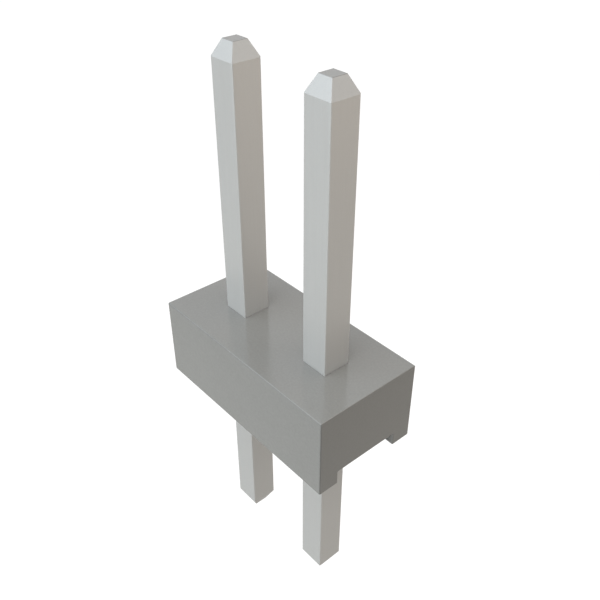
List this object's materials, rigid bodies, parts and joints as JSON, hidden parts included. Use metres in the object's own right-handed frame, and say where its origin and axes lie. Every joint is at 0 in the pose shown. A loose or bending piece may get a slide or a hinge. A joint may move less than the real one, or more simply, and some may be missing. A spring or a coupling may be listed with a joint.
{
  "type": "pin header",
  "caption": "Straight single-row pin header for a circuit board: square tinned posts, blunt at both ends, pass through a plain grey block that stands on rails.",
  "frame": {"origin": "on the board's surface, where the rails' undersides rest, at the middle of the row of posts", "axes": "+X along the row of posts, +Z along the posts from the board towards the mating ends, -Y is a long side of the block"},
  "size_m": [0.004, 0.002, 0.0096],
  "materials": {
    "insulator": "moulded satin grey plastic",
    "post": "bright-grey tin plate on copper alloy wire"
  },
  "bodies": {
    "root": {"insulator": "insulator", "post_1": "post", "post_2": "post"}
  },
  "joints": []
}
